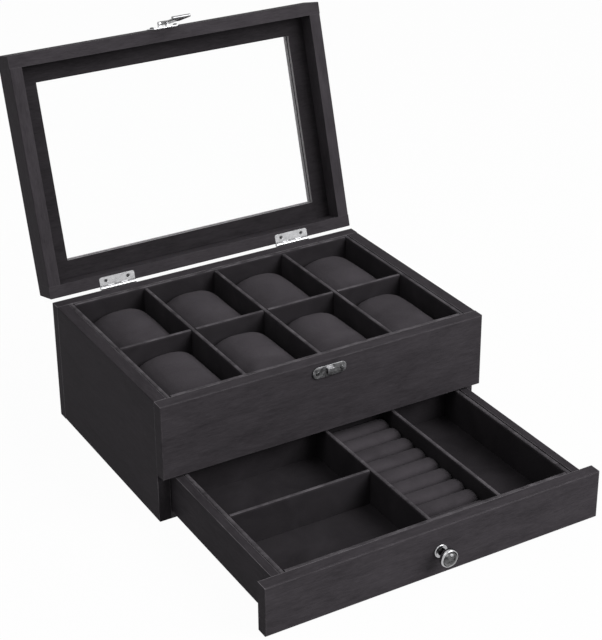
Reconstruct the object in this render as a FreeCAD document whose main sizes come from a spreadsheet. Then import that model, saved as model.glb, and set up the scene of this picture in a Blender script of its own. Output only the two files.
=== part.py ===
import FreeCAD, Part
import math
import os
import re
import Sketcher

# Watch box with a drawer: a wrapped board case with a lined eight-place tray,
# a windowed lid on two butt hinges, a hasp latch and a drawer below the tray.
# Frame: millimetres, X to the right, Y to the back, Z up,
# origin at the centre of the case underside. The box is drawn as it stands
# in use, with the lid open, the drawer out and the hasp a little raised.

os.makedirs("parts", exist_ok=True)
doc = FreeCAD.newDocument("watch_box")
Vector = FreeCAD.Vector

# Driving dimensions, in millimetres and degrees
sizes = {
    # case
    "caseWidth": 280.0,
    "caseDepth": 195.0,
    "rimHeight": 102.0,
    "wallThick": 10.0,
    "bottomThick": 5.0,
    "bayTop": 41.0,
    "deckThick": 5.0,
    "edgeRound": 0.8,
    # tray
    "liningThick": 4.0,
    "trayPad": 2.0,
    "dividerThick": 4.0,
    "dividerDrop": 0.6,
    "liningRound": 1.8,
    "lapClear": 0.1,
    # pillows
    "pillowWidth": 54.0,
    "pillowLength": 78.0,
    "pillowHeight": 43.5,
    "pillowClear": 0.3,
    # lid
    "lidGap": 1.0,
    "lidThick": 25.0,
    "railThick": 10.0,
    "topThick": 6.5,
    "innerFrameThick": 3.0,
    "innerFrameClear": 0.2,
    "windowMargin": 15.0,
    "glassThick": 2.0,
    "glassLap": 5.0,
    "glassClear": 0.3,
    "lidOpening": 105.7,
    # butt hinges
    "hingeSide": 58.5,
    "hingeWidth": 31.0,
    "leafDepth": 7.8,
    "leafThick": 0.9,
    "leafProud": 0.25,
    "leafClear": 0.15,
    "leafRound": 1.8,
    "barrelRadius": 1.8,
    "barrelClear": 0.3,
    "pinRadius": 0.8,
    "pinClear": 0.08,
    "hingeBack": 1.2,
    "knuckleClear": 0.15,
    # screws
    "screwSpacing": 19.5,
    "screwInset": 4.4,
    "screwRadius": 0.9,
    "screwHead": 1.7,
    "screwLength": 8.0,
    "screwClear": 0.1,
    # catch and latch
    "plateWidth": 29.0,
    "plateHeight": 9.3,
    "plateThick": 1.2,
    "plateScrews": 21.0,
    "plateRound": 4.3,
    "catchDrop": 8.6,
    "hookWidth": 5.6,
    "hookReach": 2.6,
    "hookThick": 1.0,
    "hookRise": 2.9,
    "hookDrop": 2.5,
    "latchRise": 12.0,
    "haspPinOut": 4.0,
    "haspBarrel": 1.8,
    "haspPin": 0.7,
    "haspKnuckle": 4.4,
    "latchEar": 2.0,
    "haspThick": 1.0,
    "haspStrap": 8.6,
    "haspWidth": 16.0,
    "haspNeck": 15.0,
    "haspLength": 37.0,
    "haspSlotWidth": 9.6,
    "haspSlotHeight": 7.4,
    "haspLip": 1.3,
    "haspRaise": 8.0,
    "haspClear": 0.15,
    # drawer
    "drawerOut": 150.0,
    "closeGap": 0.3,
    "frontBottom": 0.7,
    "frontGap": 1.2,
    "sideClear": 0.8,
    "sideThick": 6.5,
    "sideDrop": 0.5,
    "runClear": 0.4,
    "drawerBackGap": 8.0,
    "drawerBase": 3.0,
    "drawerLining": 4.5,
    "drawerLiningRound": 2.0,
    "drawerPad": 1.5,
    "drawerDivider": 4.0,
    "drawerDividerDrop": 0.8,
    "drawerDividerRound": 1.8,
    # ring rolls
    "rollHeight": 20.6,
    "rollSide": 13.5,
    "rollClear": 0.2,
    # knob
    "rosetteRadius": 5.4,
    "rosetteThick": 1.5,
    "knobNeck": 2.6,
    "knobRadius": 7.0,
    "knobReach": 15.5,
    "knobScrew": 1.6,
    "knobScrewHead": 3.6,
    "knobScrewDepth": 6.0,
    "knobSink": 2.4,
    "screwEnd": 0.3,
}
trayColumns = 4
trayRows = 2
knuckles = 5
rollCount = 9

sheet = doc.addObject("Spreadsheet::Sheet", "Sizes")
for row, (alias, value) in enumerate(sizes.items(), start=1):
    sheet.set("A%d" % row, alias)
    sheet.set("B%d" % row, repr(value))
    sheet.setAlias("B%d" % row, alias)
doc.recompute()

# Places that several pieces share, written in the sheet's names
halfWidth = "caseWidth / 2"
front = "-caseDepth / 2"
back = "caseDepth / 2"
insideWidth = "(caseWidth - 2 * wallThick)"
insideDepth = "(caseDepth - 2 * wallThick)"
deckTop = "(bayTop + deckThick)"
trayFloor = "(bayTop + deckThick + trayPad)"
trayWidth = "(caseWidth - 2 * wallThick - 2 * liningThick)"
trayDepth = "(caseDepth - 2 * wallThick - 2 * liningThick)"
dividerHeight = "(rimHeight - dividerDrop - bayTop - deckThick - trayPad)"
columnPitch = "((%s + dividerThick) / %d)" % (trayWidth, trayColumns)
hingeOffset = "(caseWidth / 2 - hingeSide)"
leafStart = "-%s - hingeWidth / 2 - leafClear" % hingeOffset
hingeScrewStart = "-%s - screwSpacing / 2" % hingeOffset
# the lid's own frame has its origin on the hinge pin, with the lid shut
lidRear = "-hingeBack"
lidFront = "(-hingeBack - caseDepth)"
mating = "lidGap / 2"
railHeight = "(lidThick - topThick)"
windowWidth = "(caseWidth - 2 * railThick - 2 * windowMargin)"
windowDepth = "(caseDepth - 2 * railThick - 2 * windowMargin)"
# the drawer is drawn shut and then moved out
frontThick = "(wallThick - closeGap)"
frontHeight = "(bayTop - frontGap - frontBottom)"
drawerHalf = "(caseWidth / 2 - wallThick - sideClear)"
drawerFloor = "(bottomThick + runClear + drawerBase)"
drawerTop = "(bayTop - frontGap - sideDrop)"
drawerRear = "(caseDepth / 2 - wallThick - drawerBackGap)"
drawerStart = "(-caseDepth / 2 + wallThick - closeGap)"
boxWidth = "(2 * (caseWidth / 2 - wallThick - sideClear - sideThick - drawerLining))"
boxStart = "(-caseDepth / 2 + wallThick - closeGap + drawerLining)"
boxDepth = "(caseDepth - 2 * wallThick - drawerBackGap + closeGap - sideThick - 2 * drawerLining)"
boxFloor = "(bottomThick + runClear + drawerBase + drawerPad)"
boxColumn = "((%s + drawerDivider) / 4)" % boxWidth
drawerDividerHeight = "(bayTop - frontGap - sideDrop - drawerDividerDrop - %s)" % boxFloor

nodes = []


def expression(text):
    """The text with each size's name led by the sheet's."""
    def led(word):
        name = word.group()
        return "Sizes." + name if name in sizes else name

    return re.sub(r"[A-Za-z]+", led, text)


def bind(thing, prop, text):
    thing.setExpression(prop, expression(str(text)))


def size(name):
    """A cell of the sheet as a number."""
    return float(sheet.get(name))


def plane(body, role):
    return next(feature for feature in body.Origin.OriginFeatures if feature.Role == role)


def newBody(name):
    body = doc.addObject("PartDesign::Body", name)
    body.Label = name
    nodes.append(body)
    return body


def placedSketch(body, name, role, corner):
    """An empty sketch on one of the body's own planes, moved to a bound corner."""
    sketch = body.newObject("Sketcher::SketchObject", name)
    sketch.AttachmentSupport = (plane(body, role), [""])
    sketch.MapMode = "FlatFace"
    for axis, text in zip("xyz", corner):
        bind(sketch, "AttachmentOffset.Base." + axis, text)
    return sketch


def rectangle(body, name, role, corner, width, height):
    """A rectangle whose lower left corner is the sketch's origin."""
    sketch = placedSketch(body, name, role, corner)
    points = [Vector(0, 0), Vector(5, 0), Vector(5, 5), Vector(0, 5)]
    for here, there in zip(points, points[1:] + points[:1]):
        sketch.addGeometry(Part.LineSegment(here, there), False)
    for line in range(4):
        sketch.addConstraint(Sketcher.Constraint("Coincident", line, 2, (line + 1) % 4, 1))
    for line, way in enumerate(["Horizontal", "Vertical", "Horizontal", "Vertical"]):
        sketch.addConstraint(Sketcher.Constraint(way, line))
    sketch.addConstraint(Sketcher.Constraint("Coincident", 0, 1, -1, 1))
    for label, line, way, text in (("width", 0, "DistanceX", width), ("height", 1, "DistanceY", height)):
        index = sketch.addConstraint(Sketcher.Constraint(way, line, 1, line, 2, 5.0))
        sketch.renameConstraint(index, label)
        bind(sketch, "Constraints." + label, text)
    return sketch


def circles(body, name, role, corner, radii, spacing=None):
    """Circles about the sketch's origin, and a second set a bound spacing along its X."""
    sketch = placedSketch(body, name, role, corner)
    for radius in radii:
        for column in range(1 if spacing is None else 2):
            ring = sketch.addGeometry(Part.Circle(Vector(6 * column, 0), Vector(0, 0, 1), 1.0), False)
            label = "radius%d" % ring
            sketch.renameConstraint(sketch.addConstraint(Sketcher.Constraint("Radius", ring, 1.0)), label)
            bind(sketch, "Constraints." + label, radius)
            if column == 0:
                sketch.addConstraint(Sketcher.Constraint("Coincident", ring, 3, -1, 1))
                continue
            sketch.addConstraint(Sketcher.Constraint("PointOnObject", ring, 3, -1))
            label = "spacing%d" % ring
            index = sketch.addConstraint(Sketcher.Constraint("DistanceX", -1, 1, ring, 3, 6.0))
            sketch.renameConstraint(index, label)
            bind(sketch, "Constraints." + label, spacing)
    return sketch


def grow(body, sketch, length, kind="Pad", reverse=False):
    feature = body.newObject("PartDesign::" + kind, sketch.Name + "_" + kind.lower())
    feature.Profile = sketch
    bind(feature, "Length", length)
    feature.Reversed = reverse
    return feature


def board(name, corner, dimensions):
    """A board with its lowest corner and its sizes bound to the sheet."""
    body = newBody(name)
    sketch = rectangle(body, name + "_outline", "XY_Plane", corner, dimensions[0], dimensions[1])
    return body, grow(body, sketch, dimensions[2])


def touching(shape, sides):
    """Names of the edges that lie on all the named sides of the shape's box."""
    box = shape.BoundBox
    planes = {"left": ("X", box.XMin), "right": ("X", box.XMax), "front": ("Y", box.YMin),
              "back": ("Y", box.YMax), "bottom": ("Z", box.ZMin), "top": ("Z", box.ZMax)}

    def lies(edge, side):
        axis, place = planes[side]
        own = edge.BoundBox
        low = getattr(own, axis + "Min")
        high = getattr(own, axis + "Max")
        return abs(low - place) < 1e-4 and abs(high - place) < 1e-4

    return ["Edge%d" % (index + 1) for index, edge in enumerate(shape.Edges)
            if all(lies(edge, side) for side in sides)]


def soften(body, feature, radius, corners, kind="Fillet"):
    """Round or chamfer the edges where the named pairs of sides meet."""
    doc.recompute()
    edges = []
    for sides in corners:
        edges += [edge for edge in touching(feature.Shape, sides) if edge not in edges]
    result = body.newObject("PartDesign::" + kind, body.Name + "_" + kind.lower() + str(len(body.Group)))
    result.Base = (feature, edges)
    bind(result, "Radius" if kind == "Fillet" else "Size", radius)
    return result


def cut(body, sketch, depth, upward=False):
    return grow(body, sketch, depth, "Pocket", upward)


def repeat(body, features, axis, length, count):
    pattern = body.newObject("PartDesign::LinearPattern", body.Name + "_pattern" + str(len(body.Group)))
    pattern.Originals = features
    pattern.Direction = (plane(body, axis), [""])
    bind(pattern, "Length", length)
    pattern.Occurrences = count
    body.Tip = pattern
    return pattern


def solidNode(name, shape):
    """A node whose shape is made by formula from the sheet's sizes."""
    feature = doc.addObject("Part::Feature", name)
    feature.Label = name
    feature.Shape = shape
    nodes.append(feature)
    return feature


def hangOnLid(thing):
    """Carry a piece drawn in the lid's own frame to the open lid."""
    thing.Placement = FreeCAD.Placement(Vector(0, 0, 0), FreeCAD.Rotation(Vector(-1, 0, 0), 45))
    bind(thing, "Placement.Base.y", "caseDepth / 2 + hingeBack")
    bind(thing, "Placement.Base.z", "rimHeight + lidGap / 2")
    bind(thing, "Placement.Rotation.Angle", "lidOpening")


def pullOut(thing):
    """Carry a piece drawn in the shut drawer to the drawer's place in use."""
    bind(thing, "Placement.Base.y", "-drawerOut")


def revolved(profile, axis=Vector(0, 0, 1)):
    """A solid of revolution about an axis through the origin from a closed run of edges."""
    return Part.Face(Part.Wire(profile)).revolve(Vector(0, 0, 0), axis, 360)


def lines(points):
    """Edges through the points, closed back to the first."""
    return [Part.LineSegment(here, there).toShape() for here, there in zip(points, points[1:] + points[:1])]


# Case
body, pad = board("front_fascia", ("-" + halfWidth, front, "bayTop"),
                  ("caseWidth", "wallThick", "rimHeight - bayTop"))
soften(body, pad, "edgeRound", [("front", side) for side in ("left", "right", "top", "bottom")])
hole = circles(body, "catch_pilots", "XZ_Plane",
               ("-plateScrews / 2", "rimHeight - catchDrop", "caseDepth / 2"),
               ["screwRadius + screwClear"], "plateScrews")
cut(body, hole, "screwLength + screwClear")

for name, side, corner in (("case_left_wall", "left", "-" + halfWidth),
                           ("case_right_wall", "right", halfWidth + " - wallThick")):
    body, pad = board(name, (corner, front + " + wallThick", 0), ("wallThick", insideDepth, "rimHeight"))
    soften(body, pad, "edgeRound", [(side, "top"), (side, "bottom")])

body, pad = board("case_back_wall", ("-" + halfWidth, back + " - wallThick", 0),
                  ("caseWidth", "wallThick", "rimHeight"))
soften(body, pad, "edgeRound", [("back", side) for side in ("left", "right", "top", "bottom")])
mortise = rectangle(body, "leaf_mortise", "XZ_Plane",
                    (leafStart, "rimHeight - leafDepth - leafClear", "-" + back),
                    "hingeWidth + 2 * leafClear", "leafDepth + 2 * leafClear")
seat = cut(body, mortise, "leafThick - leafProud", True)
relief = rectangle(body, "barrel_relief", "XY_Plane",
                   (leafStart,
                    back + " - barrelRadius - barrelClear + hingeBack", "rimHeight"),
                   "hingeWidth + 2 * leafClear", "barrelRadius + barrelClear")
groove = cut(body, relief, "barrelRadius + barrelClear - lidGap / 2")
hole = circles(body, "leaf_pilots", "XZ_Plane",
               (hingeScrewStart, "rimHeight - screwInset", "-" + back),
               ["screwRadius + screwClear"], "screwSpacing")
pilots = cut(body, hole, "screwLength + screwClear", True)
repeat(body, [seat, groove, pilots], "X_Axis", "2 * " + hingeOffset, 2)

board("case_bottom_panel", ("-%s / 2" % insideWidth, front + " + wallThick", 0),
      (insideWidth, insideDepth, "bottomThick"))
board("middle_deck", ("-%s / 2" % insideWidth, front + " + wallThick", "bayTop"),
      (insideWidth, insideDepth, "deckThick"))

# Tray linings stand on the deck, with the front and back ones between the side ones
liningHeight = "rimHeight - bayTop - deckThick"
for name, corner in (("tray_lining_left", "-%s / 2" % insideWidth),
                     ("tray_lining_right", "%s / 2 - liningThick" % insideWidth)):
    body, pad = board(name, (corner, front + " + wallThick", deckTop),
                      ("liningThick", insideDepth, liningHeight))
    soften(body, pad, "liningRound", [("left", "top"), ("right", "top")])
for name, corner in (("tray_lining_front", front + " + wallThick"),
                     ("tray_lining_back", back + " - wallThick - liningThick")):
    body, pad = board(name, ("-%s / 2" % trayWidth, corner, deckTop),
                      (trayWidth, "liningThick", liningHeight))
    soften(body, pad, "liningRound", [("front", "top"), ("back", "top")])
board("tray_floor_pad", ("-%s / 2" % trayWidth, "-%s / 2" % trayDepth, deckTop),
      (trayWidth, trayDepth, "trayPad"))

# Dividers cross by half laps: the cross divider is slotted from above, the long ones from below
lapWidth = "(dividerThick + 2 * lapClear)"
body, pad = board("tray_divider_cross", ("-%s / 2" % trayWidth, "-dividerThick / 2", trayFloor),
                  (trayWidth, "dividerThick", dividerHeight))
soften(body, pad, "liningRound", [("front", "top"), ("back", "top")])
slot = rectangle(body, "cross_lap", "XY_Plane",
                 ("-%s - %s / 2" % (columnPitch, lapWidth), "-dividerThick", "rimHeight"),
                 lapWidth, "2 * dividerThick")
lap = cut(body, slot, "dividerDrop + %s / 2 + lapClear" % dividerHeight)
repeat(body, [lap], "X_Axis", "%d * %s" % (trayColumns - 2, columnPitch), trayColumns - 1)
for column in range(1, trayColumns):
    place = "(%d * %s)" % (2 * column - trayColumns, columnPitch)
    body, pad = board("tray_divider_long_%d" % column,
                      ("%s / 2 - dividerThick / 2" % place, "-%s / 2" % trayDepth, trayFloor),
                      ("dividerThick", trayDepth, dividerHeight))
    soften(body, pad, "liningRound", [("left", "top"), ("right", "top")])
    slot = rectangle(body, "long_lap_%d" % column, "XY_Plane",
                     ("%s / 2 - dividerThick" % place, "-%s / 2" % lapWidth, trayFloor),
                     "2 * dividerThick", lapWidth)
    cut(body, slot, dividerHeight + " / 2 + lapClear", True)


# Soft pieces: sections of lines and arcs under a half circle, lofted end to end
def arc(start, middle, end):
    return Part.Arc(start, middle, end).toShape()


def softSection(half, side, shoulder, crown):
    """A closed section in X and Z: flat foot, drawn-in sides, round shoulders and a crown."""
    foot = half * 0.80
    low = side * 0.35
    top = half * 0.52
    bow = half * 0.012
    bend = 0.29
    waist = half * 0.97
    right = [Vector(foot, 0, 0), Vector(half, 0, low), Vector(waist, 0, side), Vector(top, 0, shoulder)]
    middles = [Vector(half - (half - foot) * bend, 0, low * bend),
               Vector((half + waist) / 2 + bow, 0, (low + side) / 2),
               Vector(waist - (waist - top) * bend, 0, shoulder - (shoulder - side) * bend)]
    left = [Vector(-point.x, 0, point.z) for point in right]
    edges = [Part.LineSegment(left[0], right[0]).toShape()]
    for here, middle, there in zip(right, middles, right[1:]):
        edges.append(arc(here, middle, there))
    edges.append(arc(right[3], Vector(0, 0, crown), left[3]))
    for here, middle, there in reversed(list(zip(left, middles, left[1:]))):
        edges.append(arc(there, Vector(-middle.x, 0, middle.z), here))
    return Part.Wire(edges)


def pillowShape(width, length, height):
    """A watch pillow lying along Y, drawn in at both ends."""
    stations = ((0.0, 0.88, 0.86), (0.02, 0.94, 0.935), (0.07, 0.98, 0.98), (0.2, 1.0, 0.997),
                (0.5, 1.0, 1.0))
    stations += tuple((1 - place, broad, tall) for place, broad, tall in reversed(stations[:-1]))
    sections = []
    for place, broad, tall in stations:
        high = height * tall
        section = softSection(width / 2 * broad, high * 0.58, high * 0.925, high)
        section.translate(Vector(0, (place - 0.5) * length, 0))
        sections.append(section)
    return Part.makeLoft(sections, True, False)


doc.recompute()
frame = 2 * size("wallThick") + 2 * size("liningThick") - size("dividerThick")
cellWidth = (size("caseWidth") - frame) / trayColumns
cellDepth = (size("caseDepth") - frame) / trayRows
pillow = pillowShape(size("pillowWidth"), size("pillowLength"), size("pillowHeight"))
for row in range(trayRows):
    for column in range(trayColumns):
        node = solidNode("watch_pillow_%d" % (row * trayColumns + column + 1), pillow.copy())
        across = (column - (trayColumns - 1) / 2) * cellWidth
        along = (row - (trayRows - 1) / 2) * cellDepth
        floor = size("bayTop") + size("deckThick") + size("trayPad") + size("pillowClear")
        node.Placement = FreeCAD.Placement(Vector(across, along, floor), FreeCAD.Rotation())

# Lid
lidBoards = []
body, pad = board("lid_front_rail", ("-" + halfWidth, lidFront, mating),
                  ("caseWidth", "railThick", railHeight))
soften(body, pad, "edgeRound", [("front", "left"), ("front", "right"), ("front", "bottom")])
hole = circles(body, "latch_pilots", "XZ_Plane",
               ("-plateScrews / 2", "%s + latchRise" % mating, "hingeBack + caseDepth"),
               ["screwRadius + screwClear"], "plateScrews")
cut(body, hole, "screwLength + screwClear")
lidBoards.append(body)
for name, side, corner in (("lid_left_rail", "left", "-" + halfWidth),
                           ("lid_right_rail", "right", halfWidth + " - railThick")):
    body, pad = board(name, (corner, lidFront + " + railThick", mating),
                      ("railThick", "caseDepth - 2 * railThick", railHeight))
    soften(body, pad, "edgeRound", [(side, "bottom")])
    lidBoards.append(body)
body, pad = board("lid_back_rail", ("-" + halfWidth, lidRear + " - railThick", mating),
                  ("caseWidth", "railThick", railHeight))
soften(body, pad, "edgeRound", [("back", "left"), ("back", "right"), ("back", "bottom")])
mortise = rectangle(body, "lid_leaf_mortise", "XY_Plane",
                    (leafStart, lidRear + " - leafDepth - leafClear", mating),
                    "hingeWidth + 2 * leafClear", "leafDepth + 2 * leafClear")
seat = cut(body, mortise, "leafThick - leafProud", True)
relief = rectangle(body, "lid_barrel_relief", "XY_Plane",
                   (leafStart, "-barrelRadius - barrelClear", mating),
                   "hingeWidth + 2 * leafClear", "barrelRadius + barrelClear")
groove = cut(body, relief, "barrelRadius + barrelClear - lidGap / 2", True)
hole = circles(body, "lid_leaf_pilots", "XY_Plane",
               (hingeScrewStart, lidRear + " - screwInset", mating),
               ["screwRadius + screwClear"], "screwSpacing")
pilots = cut(body, hole, "screwLength + screwClear + leafThick", True)
repeat(body, [seat, groove, pilots], "X_Axis", "2 * " + hingeOffset, 2)
lidBoards.append(body)

# The top panel has the window and a rebate below it that seats the glass
topBottom = "(%s + lidThick - topThick)" % mating
windowStart = "(-hingeBack - railThick - windowMargin - %s)" % windowDepth
body, pad = board("lid_top_panel", ("-" + halfWidth, lidFront, topBottom),
                  ("caseWidth", "caseDepth", "topThick"))
soften(body, pad, "edgeRound", [("top", side) for side in ("left", "right", "front", "back")]
       + [("left", "front"), ("left", "back"), ("right", "front"), ("right", "back")])
opening = rectangle(body, "window", "XY_Plane", ("-%s / 2" % windowWidth, windowStart, topBottom),
                    windowWidth, windowDepth)
cut(body, opening, "2 * topThick", True)
rebate = rectangle(body, "glass_rebate", "XY_Plane",
                   ("-%s / 2 - glassLap - glassClear" % windowWidth,
                    windowStart + " - glassLap - glassClear", topBottom),
                   windowWidth + " + 2 * glassLap + 2 * glassClear",
                   windowDepth + " + 2 * glassLap + 2 * glassClear")
cut(body, rebate, "glassThick", True)
lidBoards.append(body)
body, pad = board("window_glass",
                  ("-%s / 2 - glassLap" % windowWidth, windowStart + " - glassLap", topBottom),
                  (windowWidth + " + 2 * glassLap", windowDepth + " + 2 * glassLap", "glassThick"))
lidBoards.append(body)
body, pad = board("lid_inner_frame",
                  ("-%s / 2 - windowMargin + innerFrameClear" % windowWidth,
                   windowStart + " - windowMargin + innerFrameClear", topBottom + " - innerFrameThick"),
                  (windowWidth + " + 2 * windowMargin - 2 * innerFrameClear",
                   "caseDepth - 2 * railThick - 2 * innerFrameClear", "innerFrameThick"))
opening = rectangle(body, "inner_window", "XY_Plane",
                    ("-%s / 2" % windowWidth, windowStart, topBottom + " - 2 * innerFrameThick"),
                    windowWidth, windowDepth)
cut(body, opening, "3 * innerFrameThick", True)
lidBoards.append(body)
for body in lidBoards:
    hangOnLid(body)


# Butt hinges, drawn about their pin with the leaf along -Y and its open face down.
# The lid's leaf lies in the lid's mating face and the case's in the case's rear face.
def hingeLeaf(name, centre, own, seat, edge):
    """A leaf a bound seat above the pin and from a bound edge on, with its own knuckles."""
    body = newBody(name)
    pitch = "(hingeWidth / %d)" % knuckles
    start = "%s - hingeWidth / 2" % centre
    plate = rectangle(body, name + "_plate", "XY_Plane",
                      (start, "-%s - leafDepth" % edge, "%s - leafProud" % seat), "hingeWidth",
                      "leafDepth + %s - (barrelRadius + pinRadius + pinClear) / 2" % edge)
    pad = grow(body, plate, "leafThick")
    soften(body, pad, "leafRound", [("front", "left"), ("front", "right")])
    ring = circles(body, name + "_barrel", "YZ_Plane", (0, 0, start),
                   ["barrelRadius", "pinRadius + pinClear"])
    grow(body, ring, "hingeWidth")
    gaps = [number for number in range(knuckles) if number not in own]
    notch = rectangle(body, name + "_gap", "XY_Plane",
                      ("%s + %d * %s - knuckleClear" % (start, gaps[0], pitch),
                       "-barrelRadius - barrelClear", "-barrelRadius - barrelClear"),
                      "%s + 2 * knuckleClear" % pitch, "2 * (barrelRadius + barrelClear)")
    gap = cut(body, notch, "2 * (barrelRadius + barrelClear)", True)
    repeat(body, [gap], "X_Axis", "%d * %s" % (gaps[-1] - gaps[0], pitch), len(gaps))
    hole = circles(body, name + "_holes", "XY_Plane",
                   ("%s - screwSpacing / 2" % centre, "-%s - screwInset" % edge, 0),
                   ["screwRadius + screwClear"], "screwSpacing")
    drilled = cut(body, hole, "2 * barrelRadius", True)
    doc.recompute()
    sink = body.newObject("PartDesign::Chamfer", name + "_sinks")
    sink.Base = (drilled, screwRims(drilled.Shape))
    bind(sink, "Size", "screwHead - screwRadius - screwClear")
    return body


def screwRims(shape):
    """Names of the lower rims of the upright screw holes."""
    rims = {}
    for number, edge in enumerate(shape.Edges, start=1):
        if isinstance(edge.Curve, Part.Circle) and abs(edge.Curve.Axis.z) > 0.5:
            if abs(edge.Curve.Radius - size("screwRadius") - size("screwClear")) < 1e-4:
                rims["Edge%d" % number] = edge.Curve.Center.z
    lowest = min(rims.values())
    return [name for name, height in rims.items() if height < lowest + 1e-4]


def hangOnBack(thing):
    """Turn a piece drawn at the pin so that its leaf hangs down the case's rear face."""
    thing.Placement = FreeCAD.Placement(Vector(0, 0, 0), FreeCAD.Rotation(Vector(1, 0, 0), 90))
    bind(thing, "Placement.Base.y", "caseDepth / 2 + hingeBack")
    bind(thing, "Placement.Base.z", "rimHeight + lidGap / 2")


evens = list(range(0, knuckles, 2))
odds = list(range(1, knuckles, 2))
for side, centre in (("left", "-" + hingeOffset), ("right", hingeOffset)):
    hangOnBack(hingeLeaf("hinge_case_leaf_" + side, centre, evens, "hingeBack", "lidGap / 2"))
    hangOnLid(hingeLeaf("hinge_lid_leaf_" + side, centre, odds, "lidGap / 2", "hingeBack"))


# Countersunk screws, drawn with the head's flat face at the origin and the shank up
def screwShape(radius, head, length):
    sink = head - radius
    return revolved(lines([Vector(0, 0, 0), Vector(head, 0, 0), Vector(radius, 0, sink),
                           Vector(radius, 0, length - radius), Vector(0, 0, length)]))


def domedScrew(radius, head, length):
    """A round-headed screw whose head stands on the origin's plane, shank down."""
    tip = head * 0.15
    crown = head * 0.6
    return revolved([
        Part.LineSegment(Vector(0, 0, crown), Vector(0, 0, -length)).toShape(),
        Part.LineSegment(Vector(0, 0, -length), Vector(radius, 0, -length + radius)).toShape(),
        Part.LineSegment(Vector(radius, 0, -length + radius), Vector(radius, 0, 0)).toShape(),
        Part.LineSegment(Vector(radius, 0, 0), Vector(head, 0, 0)).toShape(),
        arc(Vector(head, 0, 0), Vector(head * 0.76, 0, crown * 0.68), Vector(tip, 0, crown)),
        Part.LineSegment(Vector(tip, 0, crown), Vector(0, 0, crown)).toShape(),
    ])


def copies(shape, places, rotation=FreeCAD.Rotation()):
    solids = []
    for place in places:
        one = shape.copy()
        one.Placement = FreeCAD.Placement(place, rotation)
        solids.append(one)
    return Part.makeCompound(solids)


doc.recompute()
sunk = screwShape(size("screwRadius"), size("screwHead") - size("screwClear"), size("screwLength"))
hingeMiddle = size("caseWidth") / 2 - size("hingeSide")
hingeRod = Part.makeCylinder(size("pinRadius"), size("hingeWidth"), Vector(0, 0, 0), Vector(1, 0, 0))
rods = [Vector(side * hingeMiddle - size("hingeWidth") / 2, 0, 0) for side in (-1, 1)]
hangOnBack(solidNode("hinge_pins", copies(hingeRod, rods)))
across = [side * hingeMiddle + end * size("screwSpacing") / 2 for side in (-1, 1) for end in (-1, 1)]


def leafScrews(name, seat, edge):
    height = seat - size("leafProud")
    return solidNode(name, copies(sunk, [Vector(x, -edge - size("screwInset"), height) for x in across]))


hangOnBack(leafScrews("hinge_case_screws", size("hingeBack"), size("lidGap") / 2))
hangOnLid(leafScrews("hinge_lid_screws", size("lidGap") / 2, size("hingeBack")))


# Catch on the fascia: a rounded plate with a hook bent out and down from its middle
def mountPlate(name):
    """A plate with round ends that lies on the plane Y = 0, its middle at the origin."""
    body = newBody(name)
    outline = rectangle(body, name + "_outline", "XZ_Plane", ("-plateWidth / 2", "-plateHeight / 2", 0),
                        "plateWidth", "plateHeight")
    pad = grow(body, outline, "plateThick")
    soften(body, pad, "plateRound",
           [(side, edge) for side in ("left", "right") for edge in ("top", "bottom")])
    hole = circles(body, name + "_holes", "XZ_Plane", ("-plateScrews / 2", 0, "plateThick"),
                   ["screwRadius + screwClear"], "plateScrews")
    cut(body, hole, "2 * plateThick")
    return body


catch = mountPlate("catch_plate")
shelf = rectangle(catch, "hook_shelf", "XY_Plane",
                  ("-hookWidth / 2", "-plateThick - hookReach", "hookRise - hookThick"),
                  "hookWidth", "hookReach + plateThick / 2")
grow(catch, shelf, "hookThick")
lip = rectangle(catch, "hook_lip", "XY_Plane",
                ("-hookWidth / 2", "-plateThick - hookReach", "-hookDrop"), "hookWidth", "hookThick")
grow(catch, lip, "hookRise + hookDrop")
bind(catch, "Placement.Base.y", "-caseDepth / 2")
bind(catch, "Placement.Base.z", "rimHeight - catchDrop")

domed = domedScrew(size("screwRadius"), size("screwHead") + 0.3, size("screwLength"))
outward = FreeCAD.Rotation(Vector(1, 0, 0), 90)
plateRow = [Vector(side * size("plateScrews") / 2, -size("plateThick"), 0) for side in (-1, 1)]
catchScrews = solidNode("catch_screws", copies(domed, plateRow, outward))
bind(catchScrews, "Placement.Base.y", "-caseDepth / 2")
bind(catchScrews, "Placement.Base.z", "rimHeight - catchDrop")

# Latch on the lid: the same plate with two ears, a pin and the hasp between them
latch = mountPlate("latch_base_plate")
earSpan = "(haspKnuckle / 2 + haspClear)"
for number, start in enumerate(("-%s - latchEar" % earSpan, earSpan)):
    web = rectangle(latch, "ear_web_%d" % number, "YZ_Plane", ("-haspPinOut", "-haspBarrel", start),
                    "haspPinOut - plateThick / 2", "2 * haspBarrel")
    grow(latch, web, "latchEar")
    eye = circles(latch, "ear_eye_%d" % number, "YZ_Plane", ("-haspPinOut", 0, start), ["haspBarrel"])
    grow(latch, eye, "latchEar")
bore = circles(latch, "ear_bore", "YZ_Plane", ("-haspPinOut", 0, "-plateWidth / 2"), ["haspPin + pinClear"])
cut(latch, bore, "plateWidth", True)
pin = newBody("latch_pin")
rod = circles(pin, "latch_pin_end", "YZ_Plane", ("-haspPinOut", 0, "-%s - latchEar" % earSpan), ["haspPin"])
grow(pin, rod, "2 * (%s + latchEar)" % earSpan)
latchScrews = solidNode("latch_screws", copies(domed, plateRow, outward))

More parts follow.
